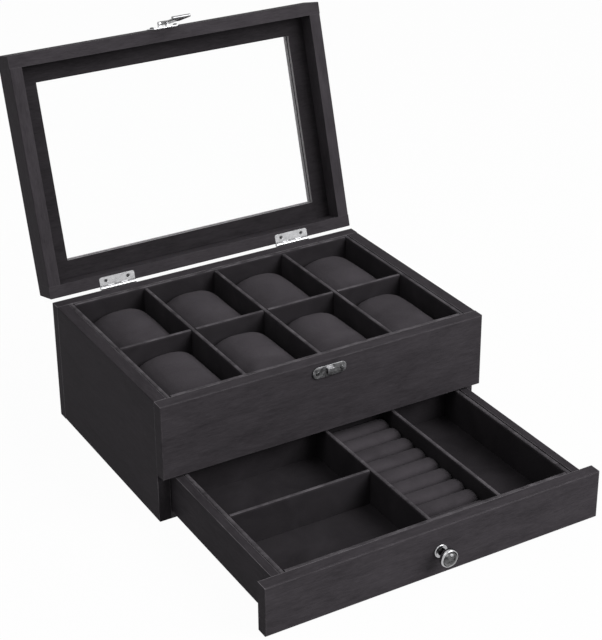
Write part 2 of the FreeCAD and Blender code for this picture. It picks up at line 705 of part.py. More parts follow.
# cosine and sine of the opening carry the latch's place in the lid to the open lid
latchY = "(hingeBack + caseDepth)"
latchZ = "(lidGap / 2 + latchRise)"
openY = "caseDepth / 2 + hingeBack - %s * cos(lidOpening) + %s * sin(lidOpening)"
openZ = "rimHeight + lidGap / 2 + %s * sin(lidOpening) + %s * cos(lidOpening)"
for thing in (latch, pin, latchScrews):
    thing.Placement = FreeCAD.Placement(Vector(0, 0, 0), FreeCAD.Rotation(Vector(-1, 0, 0), 45))
    bind(thing, "Placement.Base.y", openY % (latchY, latchZ))
    bind(thing, "Placement.Base.z", openZ % (latchY, latchZ))
    bind(thing, "Placement.Rotation.Angle", "lidOpening")

# Hasp, drawn about its pin as it hangs when shut
hasp = newBody("latch_hasp")
strap = rectangle(hasp, "hasp_strap", "XZ_Plane", ("-haspStrap / 2", "-haspNeck - haspThick", "-haspBarrel"),
                  "haspStrap", "haspNeck + haspThick - haspBarrel - haspClear")
grow(hasp, strap, "haspThick")
tail = rectangle(hasp, "hasp_tail", "XZ_Plane", ("-haspWidth / 2", "-haspLength", "-haspBarrel"),
                 "haspWidth", "haspLength - haspNeck")
grow(hasp, tail, "haspThick")
neck = rectangle(hasp, "hasp_tongue", "XZ_Plane",
                 ("-haspKnuckle / 2", "-haspBarrel - haspClear - haspThick", "-haspBarrel"),
                 "haspKnuckle", "haspBarrel + haspClear + haspThick")
grow(hasp, neck, "haspThick")
eye = circles(hasp, "hasp_eye", "YZ_Plane", (0, 0, "-haspKnuckle / 2"), ["haspBarrel", "haspPin + pinClear"])
grow(hasp, eye, "haspKnuckle")
lip = circles(hasp, "hasp_lip", "YZ_Plane",
              ("haspBarrel - haspLip", "-haspLength", "-haspWidth / 2"), ["haspLip"])
grow(hasp, lip, "haspWidth")
slot = rectangle(hasp, "hasp_slot", "XZ_Plane",
                 ("-haspSlotWidth / 2", "-latchRise - lidGap - catchDrop - haspSlotHeight / 2",
                  "-2 * haspBarrel"), "haspSlotWidth", "haspSlotHeight")
cut(hasp, slot, "4 * haspBarrel", True)
bore = circles(hasp, "hasp_bore", "YZ_Plane", (0, 0, "-haspKnuckle"), ["haspPin + pinClear"])
cut(hasp, bore, "2 * haspKnuckle", True)
hasp.Placement = FreeCAD.Placement(Vector(0, 0, 0), FreeCAD.Rotation(Vector(-1, 0, 0), 45))
haspY = "(hingeBack + caseDepth + haspPinOut)"
bind(hasp, "Placement.Base.y", openY % (haspY, latchZ))
bind(hasp, "Placement.Base.z", openZ % (haspY, latchZ))
bind(hasp, "Placement.Rotation.Angle", "lidOpening + haspRaise")

# Drawer
drawerParts = []
body, pad = board("drawer_front", ("-" + halfWidth, front, "frontBottom"),
                  ("caseWidth", frontThick, frontHeight))
soften(body, pad, "edgeRound", [("front", side) for side in ("left", "right", "top", "bottom")])
knobHeight = "(frontBottom + %s / 2)" % frontHeight
hole = circles(body, "knob_bore", "XZ_Plane", (0, knobHeight, "caseDepth / 2"), ["knobScrew + screwClear"])
cut(body, hole, "2 * wallThick")
hole = circles(body, "knob_sink", "XZ_Plane", (0, knobHeight, "caseDepth / 2 - %s" % frontThick),
               ["knobScrewHead + screwClear"])
cut(body, hole, "knobSink", True)
drawerParts.append(body)
sideHeight = "%s - bottomThick - runClear" % drawerTop
for name, corner in (("drawer_left_side", "-" + drawerHalf),
                     ("drawer_right_side", drawerHalf + " - sideThick")):
    body, pad = board(name, (corner, drawerStart, "bottomThick + runClear"),
                      ("sideThick", drawerRear + " - " + drawerStart, sideHeight))
    drawerParts.append(body)
innerHalf = "(caseWidth / 2 - wallThick - sideClear - sideThick)"
innerDepth = "(%s - sideThick - %s)" % (drawerRear, drawerStart)
drawerParts.append(board("drawer_back",
                         ("-" + innerHalf, drawerRear + " - sideThick", "bottomThick + runClear"),
                         ("2 * " + innerHalf, "sideThick", sideHeight))[0])
drawerParts.append(board("drawer_bottom", ("-" + innerHalf, drawerStart, "bottomThick + runClear"),
                         ("2 * " + innerHalf, innerDepth, "drawerBase"))[0])
drawerLiningHeight = "%s - %s" % (drawerTop, drawerFloor)
for name, corner in (("drawer_lining_left", "-" + innerHalf),
                     ("drawer_lining_right", innerHalf + " - drawerLining")):
    body, pad = board(name, (corner, drawerStart, drawerFloor),
                      ("drawerLining", innerDepth, drawerLiningHeight))
    soften(body, pad, "drawerLiningRound", [("left", "top"), ("right", "top")])
    drawerParts.append(body)
for name, corner in (("drawer_lining_front", drawerStart),
                     ("drawer_lining_back", drawerRear + " - sideThick - drawerLining")):
    body, pad = board(name, ("-%s / 2" % boxWidth, corner, drawerFloor),
                      (boxWidth, "drawerLining", drawerLiningHeight))
    soften(body, pad, "drawerLiningRound", [("front", "top"), ("back", "top")])
    drawerParts.append(body)
drawerParts.append(board("drawer_floor_pad", ("-%s / 2" % boxWidth, boxStart, drawerFloor),
                         (boxWidth, boxDepth, "drawerPad"))[0])
for name, columns in (("drawer_divider_middle", 2), ("drawer_divider_right", 3)):
    body, pad = board(name, ("-%s / 2 + %d * %s - drawerDivider" % (boxWidth, columns, boxColumn),
                             boxStart, boxFloor),
                      ("drawerDivider", boxDepth, drawerDividerHeight))
    soften(body, pad, "drawerDividerRound", [("left", "top"), ("right", "top")])
    drawerParts.append(body)
body, pad = board("drawer_divider_cross",
                  ("-%s / 2" % boxWidth, "%s + %s / 2 - drawerDivider / 2" % (boxStart, boxDepth), boxFloor),
                  ("2 * %s - drawerDivider" % boxColumn, "drawerDivider", drawerDividerHeight))
soften(body, pad, "drawerDividerRound", [("front", "top"), ("back", "top")])
drawerParts.append(body)
for body in drawerParts:
    pullOut(body)


# Ring rolls: nine soft rolls side by side between the two long dividers
def rollShape(half, side, crown, length):
    """A roll lying along X with rounded ends."""
    stations = ((0.0, 0.72, 0.62), (0.035, 0.86, 0.84), (0.10, 0.96, 0.96), (0.2, 1.0, 1.0))
    stations += tuple((1 - place, broad, tall) for place, broad, tall in reversed(stations))
    sections = []
    for place, broad, tall in stations:
        near = half * broad
        shoulder = side * tall
        crest = Vector(0, 0, shoulder + (crown - side) * broad)
        corners = [Vector(0, -near, shoulder), Vector(0, -near, 0),
                   Vector(0, near, 0), Vector(0, near, shoulder)]
        walls = [Part.LineSegment(here, there).toShape() for here, there in zip(corners, corners[1:])]
        section = Part.Wire(walls + [arc(corners[3], crest, corners[0])])
        section.translate(Vector((place - 0.5) * length, 0, 0))
        sections.append(section)
    return Part.makeLoft(sections, True, False)


doc.recompute()
boxLong = (size("caseDepth") - 2 * size("wallThick") - size("drawerBackGap") + size("closeGap")
           - size("sideThick") - 2 * size("drawerLining"))
boxWide = (size("caseWidth") - 2 * size("wallThick") - 2 * size("sideClear")
           - 2 * size("sideThick") - 2 * size("drawerLining"))
column = (boxWide + size("drawerDivider")) / 4
rollLength = column - size("drawerDivider") - 2 * size("rollClear")
rollPitch = boxLong / rollCount
roll = rollShape(rollPitch / 2 - size("rollClear"), size("rollSide"), size("rollHeight"), rollLength)
boxNear = -size("caseDepth") / 2 + size("wallThick") - size("closeGap") + size("drawerLining")
rollPlaces = [Vector(column / 2, boxNear + (number + 0.5) * rollPitch, 0) for number in range(rollCount)]
ringRolls = solidNode("ring_rolls", copies(roll, rollPlaces))
rollFloor = size("bottomThick") + size("runClear") + size("drawerBase") + size("drawerPad")
ringRolls.Placement = FreeCAD.Placement(Vector(0, -size("drawerOut"), rollFloor), FreeCAD.Rotation())

# Knob: a turned mushroom head with a bead on a flat rosette, held by a screw from behind
reach = size("knobReach")
radius = size("knobRadius")
neckRadius = size("knobNeck")
foot = size("rosetteThick")
crown = reach - foot
headBase = Vector(radius * 0.66, 0, foot + crown * 0.42)
rim = Vector(radius, 0, foot + crown * 0.62)
dome = Vector(radius * 0.72, 0, foot + crown * 0.80)
top = Vector(radius * 0.08, 0, reach)
hollow = size("knobScrew") + size("screwClear")
threadTop = foot + size("knobScrewDepth")
profile = [
    Part.LineSegment(Vector(hollow, 0, foot), Vector(neckRadius + 1, 0, foot)).toShape(),
    arc(Vector(neckRadius + 1, 0, foot), Vector(neckRadius, 0, foot + crown * 0.2), headBase),
    arc(headBase, Vector(radius * 0.95, 0, foot + crown * 0.5), rim),
    arc(rim, Vector(radius * 0.93, 0, foot + crown * 0.74), dome),
    arc(dome, Vector(radius * 0.42, 0, foot + crown * 0.955), top),
    Part.LineSegment(top, Vector(0, 0, reach)).toShape(),
    Part.LineSegment(Vector(0, 0, reach), Vector(0, 0, threadTop)).toShape(),
    Part.LineSegment(Vector(0, 0, threadTop), Vector(hollow, 0, threadTop)).toShape(),
    Part.LineSegment(Vector(hollow, 0, threadTop), Vector(hollow, 0, foot)).toShape(),
]
knobRise = (size("bayTop") - size("frontGap") + size("frontBottom")) / 2
knobPlace = FreeCAD.Placement(Vector(0, -size("caseDepth") / 2 - size("drawerOut"), knobRise), outward)
knob = solidNode("knob", revolved(profile))
knob.Placement = knobPlace
rosetteRadius = size("rosetteRadius")
plate = revolved(lines([Vector(hollow, 0, 0), Vector(rosetteRadius, 0, 0),
                        Vector(rosetteRadius, 0, foot * 0.5),
                        Vector(rosetteRadius - foot * 0.7, 0, foot), Vector(hollow, 0, foot)]))
rosette = solidNode("knob_rosette", plate)
rosette.Placement = knobPlace
headBack = -size("wallThick") + size("closeGap") + size("screwClear")
headFront = headBack + size("knobSink") - 2 * size("screwClear")
shank = size("knobScrew")
tip = threadTop - size("screwEnd")
bolt = revolved(lines([Vector(0, 0, headBack), Vector(size("knobScrewHead"), 0, headBack),
                       Vector(size("knobScrewHead"), 0, headFront), Vector(shank, 0, headFront),
                       Vector(shank, 0, tip), Vector(0, 0, tip)]))
screw = solidNode("knob_screw", bolt)
screw.Placement = knobPlace

# Check everything before any file is written
doc.recompute()
for thing in doc.Objects:
    if "Invalid" in thing.State or "Error" in thing.State:
        raise RuntimeError("%s is %s" % (thing.Label, thing.State))
if len(nodes) > 60:
    raise RuntimeError("too many nodes: %d" % len(nodes))
for node in nodes:
    if node.Shape.isNull() or not node.Shape.isValid() or not node.Shape.Solids:
        raise RuntimeError("%s has no valid solid" % node.Label)
for node in nodes:
    node.Shape.exportStep(os.path.join("parts", node.Label + ".step"))
    box = node.Shape.BoundBox
    print("%-24s %2d solid(s) %11.1f mm3" % (node.Label, len(node.Shape.Solids), node.Shape.Volume),
          " x %.1f..%.1f  y %.1f..%.1f  z %.1f..%.1f" % (
              box.XMin, box.XMax, box.YMin, box.YMax, box.ZMin, box.ZMax))
print(len(nodes), "nodes")
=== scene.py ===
import bpy
import bmesh
import math
from mathutils import Matrix, Vector, noise


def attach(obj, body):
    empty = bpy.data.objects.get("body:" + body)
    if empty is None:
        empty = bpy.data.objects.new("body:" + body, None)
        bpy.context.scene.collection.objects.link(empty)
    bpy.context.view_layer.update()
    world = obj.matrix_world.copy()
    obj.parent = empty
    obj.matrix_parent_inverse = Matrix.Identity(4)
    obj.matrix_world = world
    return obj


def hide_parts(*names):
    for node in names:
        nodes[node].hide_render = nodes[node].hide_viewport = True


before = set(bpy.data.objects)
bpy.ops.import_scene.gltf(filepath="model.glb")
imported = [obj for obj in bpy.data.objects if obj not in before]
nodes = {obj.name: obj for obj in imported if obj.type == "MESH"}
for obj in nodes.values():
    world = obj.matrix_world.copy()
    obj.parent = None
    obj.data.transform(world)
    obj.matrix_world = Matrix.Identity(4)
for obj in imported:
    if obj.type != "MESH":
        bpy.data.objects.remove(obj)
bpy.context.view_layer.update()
scene = bpy.context.scene
mm = 0.001
print("frame loaded:", len(nodes), "nodes")

# the lid stands open, so its grain and its screws are turned with it
lidDegrees = 105.7
hingePin = Vector((0, 98.7, 102.5)) * mm
lidTurn = Matrix.Translation(hingePin) @ Matrix.Rotation(-math.radians(lidDegrees), 4, "X")


# a node whose inputs are given as in_Their_Name and its settings by their own names
def addNode(tree, kind, **settings):
    node = tree.nodes.new(kind)
    for name, value in settings.items():
        if name.startswith("in_"):
            node.inputs[name[3:].replace("_", " ")].default_value = value
        else:
            setattr(node, name, value)
    return node


# a node group with its input and output nodes; inputs are (name, type, value), outputs (name, type)
def newGroup(name, inputs, outputs, kind="ShaderNodeTree"):
    tree = bpy.data.node_groups.new(name, kind)
    for label, socketType, value in inputs:
        socket = tree.interface.new_socket(label, in_out="INPUT", socket_type=socketType)
        if value is not None:
            socket.default_value = value
    for label, socketType in outputs:
        tree.interface.new_socket(label, in_out="OUTPUT", socket_type=socketType)
    return tree, tree.nodes.new("NodeGroupInput"), tree.nodes.new("NodeGroupOutput")


# noise on the vector times a scale, drawn out by the stretch along each axis
def scaledNoise(tree, vector, scale, stretch, detail, roughness, distortion):
    drawn = addNode(tree, "ShaderNodeVectorMath", operation="MULTIPLY")
    drawn.inputs[1].default_value = stretch
    tree.links.new(vector, drawn.inputs[0])
    pattern = addNode(tree, "ShaderNodeTexNoise", in_Detail=detail, in_Roughness=roughness, in_Distortion=distortion)
    tree.links.new(drawn.outputs[0], pattern.inputs["Vector"])
    tree.links.new(scale, pattern.inputs["Scale"])
    return pattern.outputs["Fac"]


# the second value laid over the first by a share
def mixed(tree, first, second, share):
    node = addNode(tree, "ShaderNodeMix", data_type="FLOAT")
    node.inputs["Factor"].default_value = share
    tree.links.new(first, node.inputs["A"])
    tree.links.new(second, node.inputs["B"])
    return node.outputs["Result"]


# a shared effect of named noises (stretch, detail, roughness, distortion); its tone and its height each start from
# one noise and take in others by a share
def newEffect(name, noises, tone, height):
    tree, start, end = newGroup(name, [("Vector", "NodeSocketVector", None), ("Scale", "NodeSocketFloat", 1.0)],
                                [("Tone", "NodeSocketFloat"), ("Height", "NodeSocketFloat")])
    vector, scale = start.outputs["Vector"], start.outputs["Scale"]
    made = {label: scaledNoise(tree, vector, scale, *settings) for label, settings in noises.items()}
    for output, (first, *others) in (("Tone", tone), ("Height", height)):
        result = made[first]
        for label, share in others:
            result = mixed(tree, result, made[label], share)
        tree.links.new(result, end.inputs[output])
    return tree


# a broken line along sharp edges, the mask for a painted edge colour: a painted highlight on the boards and painted
# shade on the latch
def makePaintedEdgeMask():
    inputs = [("Vector", "NodeSocketVector", None), ("Radius", "NodeSocketFloat", 0.0007)]
    tree, start, end = newGroup("edgeWear", inputs, [("Mask", "NodeSocketFloat")])
    rounded = addNode(tree, "ShaderNodeBevel", samples=6)
    flat = addNode(tree, "ShaderNodeNewGeometry")
    bend = addNode(tree, "ShaderNodeVectorMath", operation="DOT_PRODUCT")
    edge = addNode(tree, "ShaderNodeMapRange", in_From_Min=0.99, in_From_Max=0.9)
    patches = addNode(tree, "ShaderNodeTexNoise", in_Scale=90.0, in_Detail=3.0)
    broken = addNode(tree, "ShaderNodeMapRange", in_From_Min=0.32, in_From_Max=0.62, in_To_Min=0.3, in_To_Max=1.0)
    mask = addNode(tree, "ShaderNodeMath", operation="MULTIPLY")
    link = tree.links.new
    link(start.outputs["Radius"], rounded.inputs["Radius"])
    link(rounded.outputs["Normal"], bend.inputs[0])
    link(flat.outputs["True Normal"], bend.inputs[1])
    link(bend.outputs["Value"], edge.inputs["Value"])
    link(start.outputs["Vector"], patches.inputs["Vector"])
    link(patches.outputs["Fac"], broken.inputs["Value"])
    link(edge.outputs["Result"], mask.inputs[0])
    link(broken.outputs["Result"], mask.inputs[1])
    link(mask.outputs[0], end.inputs["Mask"])
    return tree


# soft mottled figure, short streaks and fine pores that run along X
woodGrain = newEffect("woodGrain", {
    "figure": ((26, 75, 75), 4.0, 0.6, 0.6),
    "streaks": ((75, 560, 560), 3.0, 0.6, 0.3),
    "pores": ((210, 1900, 1900), 2.0, 0.5, 0.0),
}, tone=("figure", ("streaks", 0.4), ("pores", 0.3)), height=("streaks", ("pores", 0.6)))

# cloth pile: soft brushed clouds over fine fibres
napPile = newEffect("napPile", {
    "clouds": ((34, 34, 34), 3.0, 0.55, 0.5),
    "fibres": ((1500, 1500, 1500), 3.0, 0.7, 0.0),
    "tufts": ((420, 420, 420), 2.0, 0.6, 0.0),
}, tone=("clouds", ("fibres", 0.35)), height=("fibres", ("tufts", 0.45)))

# polishing lines and a light haze on metal
metalScuff = newEffect("metalScuff", {
    "haze": ((260, 260, 260), 3.0, 0.5, 0.0),
    "lines": ((240, 4200, 4200), 2.0, 0.5, 0.0),
}, tone=("haze", ("lines", 0.5)), height=("lines",))
edgeWear = makePaintedEdgeMask()
print("shared effects made")


# a Principled material whose colour, roughness and relief come from one shared effect; the edge colour is a second
# colour that shows along its edges: a painted highlight when pale, painted shade when dark
def newMaterial(name, effect, turn=(0, 0, 0), scale=1.0, dark=None, light=None, rough=(0.5, 0.6), bump=0.2,
                depth=0.0002, toneRange=(0.3, 0.7), worn=None, wornRadius=0.0007, **shader):
    material = bpy.data.materials.new(name)
    material.use_nodes = True
    tree = material.node_tree
    tree.nodes.clear()
    coordinates = addNode(tree, "ShaderNodeTexCoord")
    mapping = addNode(tree, "ShaderNodeMapping")
    mapping.inputs["Rotation"].default_value = [math.radians(angle) for angle in turn]
    pattern = addNode(tree, "ShaderNodeGroup", node_tree=effect)
    pattern.inputs["Scale"].default_value = scale
    spread = addNode(tree, "ShaderNodeMapRange", in_From_Min=toneRange[0], in_From_Max=toneRange[1])
    colour = addNode(tree, "ShaderNodeMix", data_type="RGBA")
    colour.inputs["A"].default_value = (*dark, 1)
    colour.inputs["B"].default_value = (*light, 1)
    roughness = addNode(tree, "ShaderNodeMapRange", in_To_Min=rough[0], in_To_Max=rough[1])
    relief = addNode(tree, "ShaderNodeBump", in_Strength=bump, in_Distance=depth)
    surface = addNode(tree, "ShaderNodeBsdfPrincipled")
    for label, value in shader.items():
        surface.inputs[label.replace("_", " ")].default_value = value
    output = addNode(tree, "ShaderNodeOutputMaterial")
    link = tree.links.new
    link(coordinates.outputs["Object"], mapping.inputs["Vector"])
    link(mapping.outputs["Vector"], pattern.inputs["Vector"])
    link(pattern.outputs["Tone"], spread.inputs["Value"])
    link(spread.outputs["Result"], colour.inputs["Factor"])
    link(colour.outputs["Result"], surface.inputs["Base Color"])
    # the edge colour, painted light or shade, laid over the base colour along sharp edges
    if worn:
        paintedEdgeNode = addNode(tree, "ShaderNodeGroup", node_tree=edgeWear)
        edged = addNode(tree, "ShaderNodeMix", data_type="RGBA")
        edged.inputs["B"].default_value = (*worn, 1)
        paintedEdgeNode.inputs["Radius"].default_value = wornRadius
        link(mapping.outputs["Vector"], paintedEdgeNode.inputs["Vector"])
        link(paintedEdgeNode.outputs["Mask"], edged.inputs["Factor"])
        link(colour.outputs["Result"], edged.inputs["A"])
        link(edged.outputs["Result"], surface.inputs["Base Color"])
    link(spread.outputs["Result"], roughness.inputs["Value"])
    link(roughness.outputs["Result"], surface.inputs["Roughness"])
    link(pattern.outputs["Height"], relief.inputs["Height"])
    link(relief.outputs["Normal"], surface.inputs["Normal"])
    link(surface.outputs["BSDF"], output.inputs["Surface"])
    return material


# black wrap on the boards, with a pale painted highlight along their edges
board = {"effect": woodGrain, "rough": (0.5, 0.66), "bump": 0.5, "depth": 0.0003, "Specular_IOR_Level": 0.012}
wrap = {"dark": (0.026, 0.0234, 0.0262), "light": (0.058, 0.0523, 0.0583)}
# a darker copy of the wrap for the side boards and the front boards' ends: painted shade
shadedSideWrap = {"dark": (0.022, 0.0198, 0.0222), "light": (0.049, 0.0441, 0.0493)}
# a darker copy still for the lid's recessed inner frame: painted shade
shadedPanelWrap = {"dark": (0.013, 0.0117, 0.0131), "light": (0.034, 0.0306, 0.0342)}
# pale painted highlights for the case's board edges and fainter ones for the lid's
caseEdgeHighlight = (0.19, 0.18, 0.191)
lidEdgeHighlight = (0.065, 0.06, 0.0655)
boardAcross = newMaterial("boardAcross", worn=caseEdgeHighlight, wornRadius=0.0011, **wrap, **board)
boardDeep = newMaterial("boardDeep", turn=(0, 0, -90), worn=caseEdgeHighlight, **shadedSideWrap, **board)
boardEnd = newMaterial("boardEnd", turn=(0, 0, -90), **shadedSideWrap, **board)
lidAcross = newMaterial("lidAcross", turn=(lidDegrees, 0, 0), worn=lidEdgeHighlight, **wrap, **board)
lidDeep = newMaterial("lidDeep", turn=(lidDegrees, 0, -90), worn=lidEdgeHighlight, **wrap, **board)
lidPanel = newMaterial("lidPanel", turn=(lidDegrees, 0, 0), **shadedPanelWrap, **board)
card = newMaterial("card", woodGrain, dark=(0.012, 0.011, 0.0122), light=(0.022, 0.02, 0.0222), rough=(0.75, 0.9))
# a pale copy of the wrap for the window's edges: painted highlight
revealHighlight = newMaterial("windowReveal", woodGrain, turn=(lidDegrees, 90, 0), dark=(0.15, 0.142, 0.151),
                     light=(0.30, 0.287, 0.301), rough=(0.5, 0.66), bump=0.3)

# velvet on the linings and suede on the pillows
cloth = {"effect": napPile, "bump": 0.45, "depth": 0.0004, "rough": (0.85, 1.0), "Specular_IOR_Level": 0.0,
         "Sheen_Weight": 0.05, "Sheen_Roughness": 0.5, "Sheen_Tint": (0.62, 0.60, 0.64, 1)}
velvet = newMaterial("velvet", dark=(0.018, 0.0162, 0.0182), light=(0.033, 0.0298, 0.0332), **cloth)
# a paler velvet for the boards' top edges: painted highlight
velvetEdge = newMaterial("velvetEdge", dark=(0.04, 0.0367, 0.0403), light=(0.105, 0.0975, 0.1055), scale=2.5,
                         toneRange=(0.38, 0.62), **cloth)
rollVelvet = newMaterial("rollVelvet", dark=(0.036, 0.0325, 0.0362), light=(0.06, 0.054, 0.0602), **cloth)
suede = newMaterial("suede", dark=(0.038, 0.0342, 0.0382), light=(0.070, 0.0633, 0.0703), scale=0.7, **cloth)

# metals, from the satin hinges to the knob, whose head is chrome darkened for a painted dark reflection
metal = {"effect": metalScuff, "Metallic": 1.0}
nickel = newMaterial("nickel", dark=(0.40, 0.40, 0.41), light=(0.54, 0.54, 0.55), rough=(0.22, 0.36), bump=0.08,
                     depth=0.00005, **metal)
screwSteel = newMaterial("screwSteel", dark=(0.035, 0.035, 0.036), light=(0.09, 0.09, 0.092), rough=(0.3, 0.45),
                         bump=0.1, depth=0.00005, **metal)
chrome = newMaterial("chrome", dark=(0.34, 0.34, 0.35), light=(0.50, 0.50, 0.51), rough=(0.1, 0.2), bump=0.04,
                     depth=0.00004, **metal)
castMetal = newMaterial("castMetal", dark=(0.14, 0.14, 0.143), light=(0.40, 0.40, 0.41), rough=(0.3, 0.45), bump=0.3,
                        depth=0.0001, toneRange=(0.4, 0.6), **metal)
# the latch metal gets a dark painted shade along its edges
latchMetal = newMaterial("latchMetal", dark=(0.10, 0.10, 0.102), light=(0.30, 0.30, 0.306), rough=(0.12, 0.25),
                         bump=0.06, depth=0.00005, worn=(0.01, 0.01, 0.0102), wornRadius=0.0014, **metal)
# chrome darkened to paint dark reflections on the knob's head; the knob's rim keeps the bright chrome
smokedChrome = newMaterial("smokedChrome", dark=(0.02, 0.02, 0.0205), light=(0.16, 0.16, 0.163), rough=(0.08, 0.18),
                           scale=1.3, toneRange=(0.42, 0.58), bump=0.15, depth=0.0001, **metal)


# clear glass with faint smudges
def makeGlass():
    material = bpy.data.materials.new("windowGlass")
    material.use_nodes = True
    tree = material.node_tree
    surface = tree.nodes["Principled BSDF"]
    surface.inputs["Base Color"].default_value = (0.998, 1.0, 0.999, 1)
    surface.inputs["Transmission Weight"].default_value = 1.0
    surface.inputs["IOR"].default_value = 1.33
    coordinates = addNode(tree, "ShaderNodeTexCoord")
    smudge = addNode(tree, "ShaderNodeTexNoise", in_Scale=18.0, in_Detail=4.0)
    haze = addNode(tree, "ShaderNodeMapRange", in_From_Min=0.45, in_From_Max=0.75, in_To_Min=0.0, in_To_Max=0.02)
    tree.links.new(coordinates.outputs["Object"], smudge.inputs["Vector"])
    tree.links.new(smudge.outputs["Fac"], haze.inputs["Value"])
    tree.links.new(haze.outputs["Result"], surface.inputs["Roughness"])
    return material


glass = makeGlass()
print("materials made")


# gives the object this material alone
def paint(obj, material):
    obj.data.materials.clear()
    obj.data.materials.append(material)


# puts a second material on the faces that the test picks
def paintFaces(mesh, material, picked):
    mesh.materials.append(material)
    for face in mesh.polygons:
        if picked(face):
            face.material_index = 1


# boards and glass keep their CAD meshes
boardFinish = {
    boardAcross: ["front_fascia", "case_back_wall", "drawer_front", "drawer_back"],
    boardDeep: ["case_left_wall", "case_right_wall", "drawer_left_side", "drawer_right_side"],
    lidAcross: ["lid_front_rail", "lid_back_rail", "lid_top_panel"],
    lidPanel: ["lid_inner_frame"],
    lidDeep: ["lid_left_rail", "lid_right_rail"],
    card: ["case_bottom_panel", "middle_deck", "drawer_bottom"],
    glass: ["window_glass"],
}
for material, names in boardFinish.items():
    for name in names:
        paint(nodes[name], material)

# the wrap is drawn over the front boards' ends, so they take the side walls' turned grain and their darker painted
# shade
facesSideways = 0.95
for name in ("front_fascia", "drawer_front"):
    paintFaces(nodes[name].data, boardEnd, lambda face: abs(face.normal.x) > facesSideways)

# the window's own edges face its middle and are paler: a painted highlight
window = {"halfWidth": 115.0 * mm, "halfDepth": 72.5 * mm, "middle": -98.7 * mm, "near": 0.002}
for name in ("lid_top_panel", "lid_inner_frame"):
    toLid = lidTurn.inverted() @ nodes[name].matrix_world

    def onWindowEdge(face):
        place = toLid @ face.center
        across = abs(place.x) / window["halfWidth"]
        along = abs(place.y - window["middle"]) / window["halfDepth"]
        return abs(max(across, along) - 1) < window["near"]

    paintFaces(nodes[name].data, revealHighlight, onWindowEdge)


# an object of this mesh on a body, in place of the CAD nodes named last
def addPiece(name, mesh, material, body, replaced):
    obj = bpy.data.objects.new(name, mesh)
    scene.collection.objects.link(obj)
    if material is not None:
        paint(obj, material)
    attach(obj, body)
    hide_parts(*replaced)
    return obj


# the object's mesh with its modifiers applied
def evaluated(obj):
    bpy.context.view_layer.update()
    return bpy.data.meshes.new_from_object(obj.evaluated_get(bpy.context.evaluated_depsgraph_get()))


# the CAD node's mesh merged, with its sharp edges rounded and its curved faces smooth
def finishedCopy(nodeName, bevelWidth, segments=2, angle=35, merge=2e-6, flat=0.5):
    mesh = nodes[nodeName].data.copy()
    work = bmesh.new()
    work.from_mesh(mesh)
    bmesh.ops.remove_doubles(work, verts=work.verts, dist=merge)
    bmesh.ops.dissolve_limit(work, angle_limit=math.radians(flat), verts=work.verts, edges=work.edges)
    work.to_mesh(mesh)
    work.free()
    mesh.polygons.foreach_set("use_smooth", [True] * len(mesh.polygons))
    carrier = bpy.data.objects.new("carrier", mesh)
    scene.collection.objects.link(carrier)
    bevel = carrier.modifiers.new("bevel", "BEVEL")
    bevel.width = bevelWidth * mm
    bevel.segments = segments
    bevel.limit_method = "ANGLE"
    bevel.angle_limit = math.radians(angle)
    bevel.use_clamp_overlap = True
    weights = carrier.modifiers.new("weights", "WEIGHTED_NORMAL")
    weights.keep_sharp = True
    result = evaluated(carrier)
    bpy.data.objects.remove(carrier)
    return result


# camelCase copies of CAD nodes with eased edges, each in place of its node
def replaceByCopy(names, material, body, slotName, bevelWidth, **settings):
    pieces = []
    for name in names:
        words = name.split("_")
        pieceName = words[0] + "".join(word.capitalize() for word in words[1:])
        mesh = finishedCopy(name, bevelWidth, **settings)
        pieces.append(addPiece(pieceName, mesh, material, body, [name]))
    return pieces


# velvet boards: linings, dividers and floor pads; their top edges get a paler copy of the velvet, a painted highlight
clothBoards = {"bodies": {"tray": "case", "drawer": "drawer"}, "bevel": 0.35, "edgeDepth": 0.5, "facesUp": 0.3}
for prefix, body in clothBoards["bodies"].items():
    names = [name for name in nodes if name.startswith(prefix + "_")
             and any(word in name for word in ("lining", "divider", "floor"))]
    for piece in replaceByCopy(sorted(names), velvet, body, "lining", clothBoards["bevel"]):
        if "Floor" not in piece.name:
            # the upward faces along each board's top get the painted highlight
            edge = max(vert.co.z for vert in piece.data.vertices) - clothBoards["edgeDepth"] * mm
            paintFaces(piece.data, velvetEdge,
                       lambda face: face.normal.z > clothBoards["facesUp"] and face.center.z > edge)
print("velvet boards finished")

# hinges, catch and latch keep the CAD's form with eased edges
fittings = [
    (["hinge_case_leaf_left", "hinge_case_leaf_right", "hinge_pins"], nickel, "case", "hinge_metal", 0.25, 2),
    (["hinge_lid_leaf_left", "hinge_lid_leaf_right"], nickel, "lid", "hinge_metal", 0.25, 2),
    (["catch_plate"], castMetal, "case", "bright_metal", 0.3, 3),
    (["latch_base_plate"], chrome, "lid", "bright_metal", 0.3, 3),
    (["latch_pin"], latchMetal, "lid", "bright_metal", 0.3, 3),
    (["latch_hasp"], latchMetal, "hasp", "bright_metal", 0.22, 3),
]
for names, material, body, slotName, bevelWidth, segments in fittings:
    replaceByCopy(names, material, body, slotName, bevelWidth, segments=segments)
print("metal fittings finished")


# turns a profile of (radius, height) about Z; a radius of nought closes it with one point
def lathe(work, profile, steps=40):
    rings = []
    for radius, height in profile:
        angles = [2 * math.pi * step / steps for step in range(steps)] if radius else [0]
        rings.append([work.verts.new((radius * math.cos(angle), radius * math.sin(angle), height))
                      for angle in angles])
    for lower, upper in zip(rings, rings[1:]):
        for step in range(steps):
            after = (step + 1) % steps
            if len(lower) == 1:
                work.faces.new((lower[0], upper[after], upper[step]))
            elif len(upper) == 1:
                work.faces.new((lower[step], lower[after], upper[0]))
            else:
                work.faces.new((lower[step], lower[after], upper[after], upper[step]))
    return work


